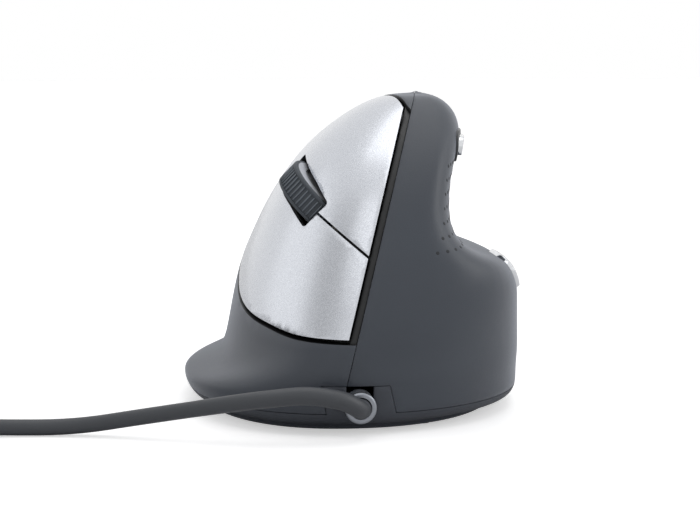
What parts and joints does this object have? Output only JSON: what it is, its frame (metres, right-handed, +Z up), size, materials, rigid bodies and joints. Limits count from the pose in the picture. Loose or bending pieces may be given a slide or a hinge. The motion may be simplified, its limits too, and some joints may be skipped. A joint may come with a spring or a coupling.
{
  "type": "vertical ergonomic mouse",
  "caption": "Right-handed vertical ergonomic computer mouse with a tall slanted grip, a split button panel, a ribbed scroll wheel, thumb buttons and a coiled cord with its plug",
  "frame": {"origin": "on the desk under the middle of the mouse's body, without the cord", "axes": "+Z up, -Y toward the nose and the cord, +X toward the thumb side"},
  "size_m": [0.2665, 0.1246, 0.0772],
  "materials": {
    "soft_touch": "soft-touch rubber coat",
    "base_plastic": "fine moulded grain",
    "frame_plastic": "plain moulded",
    "silver_panel": "satin silver lacquer over plastic",
    "tyre_rubber": "matt rubber",
    "hub_plastic": "satin silver",
    "chrome": "mirror plating",
    "trim_plastic": "smooth",
    "board_laminate": "green solder mask",
    "switch_plastic": "plain moulded",
    "steel": "turned",
    "chip_epoxy": "moulded epoxy",
    "lens_plastic": "clear moulded",
    "carriage_plastic": "natural acetal",
    "cord_pvc": "smooth PVC jacket",
    "collar_plastic": "plain moulded",
    "tie_plastic": "plain moulded",
    "plug_steel": "bright tinned",
    "tongue_plastic": "plain moulded",
    "glide_ptfe": "smooth PTFE"
  },
  "bodies": {
    "housing": {"thumb_shell": "soft_touch", "finger_shell": "soft_touch", "base_shell": "base_plastic", "button_frame": "frame_plastic", "hinge_rod": "steel", "finger_board": "board_laminate", "guide_pins": "steel", "index_switch": "switch_plastic", "middle_switch": "switch_plastic", "click_switch": "switch_plastic", "finger_board_screws": "steel", "thumb_trim": "trim_plastic", "thumb_board": "board_laminate", "forward_switch": "switch_plastic", "back_switch": "switch_plastic", "thumb_board_screws": "steel", "palm_plate": "chrome", "case_screws": "steel", "main_board": "board_laminate", "main_board_screws": "steel", "optical_sensor": "chip_epoxy", "sensor_lens": "lens_plastic", "board_chip": "chip_epoxy", "board_capacitor": "trim_plastic", "cord_header": "tongue_plastic", "glide_front": "glide_ptfe", "glide_back": "glide_ptfe", "glide_left": "glide_ptfe", "glide_right": "glide_ptfe", "cord_collar": "collar_plastic", "cord_boot": "cord_pvc", "cord_lead": "cord_pvc", "inner_lead": "cord_pvc", "cord_coil": "cord_pvc", "cord_tail": "cord_pvc", "cord_tie": "tie_plastic", "plug_grip": "cord_pvc", "plug_shell": "plug_steel", "plug_tongue": "tongue_plastic"},
    "index_button": {"index_button": "silver_panel"},
    "middle_button": {"middle_button": "silver_panel"},
    "carriage": {"wheel_carriage": "carriage_plastic", "wheel_encoder": "switch_plastic"},
    "wheel": {"wheel_tyre": "tyre_rubber", "wheel_hub": "hub_plastic", "wheel_axle": "steel"},
    "forward_button": {"forward_button": "chrome"},
    "back_button": {"back_button": "chrome"}
  },
  "joints": [
    {"name": "index_press", "type": "hinge", "parent": "housing", "child": "index_button", "pos_m": [-0.00631, 0.00103, 0.05721], "axis": [0.6552, -0.235, 0.718], "range_deg": [0, 0.5], "stiffness_Nm_per_rad": 2},
    {"name": "middle_press", "type": "hinge", "parent": "housing", "child": "middle_button", "pos_m": [-0.00631, 0.00103, 0.05721], "axis": [0.6552, -0.235, 0.718], "range_deg": [0, 0.5], "stiffness_Nm_per_rad": 2},
    {"name": "wheel_press", "type": "slide", "parent": "housing", "child": "carriage", "axis": [0.7452, 0.3571, -0.5632], "range_m": [0, 0.0005], "stiffness_N_per_m": 1500},
    {"name": "wheel_spin", "type": "hinge", "parent": "carriage", "child": "wheel", "pos_m": [-0.00815, -0.0249, 0.0504], "axis": [0.6552, -0.235, 0.718], "continuous": true},
    {"name": "forward_press", "type": "slide", "parent": "housing", "child": "forward_button", "axis": [-1, 0, 0], "range_m": [0, 0.0005], "stiffness_N_per_m": 1500},
    {"name": "back_press", "type": "slide", "parent": "housing", "child": "back_button", "axis": [-1, 0, 0], "range_m": [0, 0.0005], "stiffness_N_per_m": 1500}
  ]
}
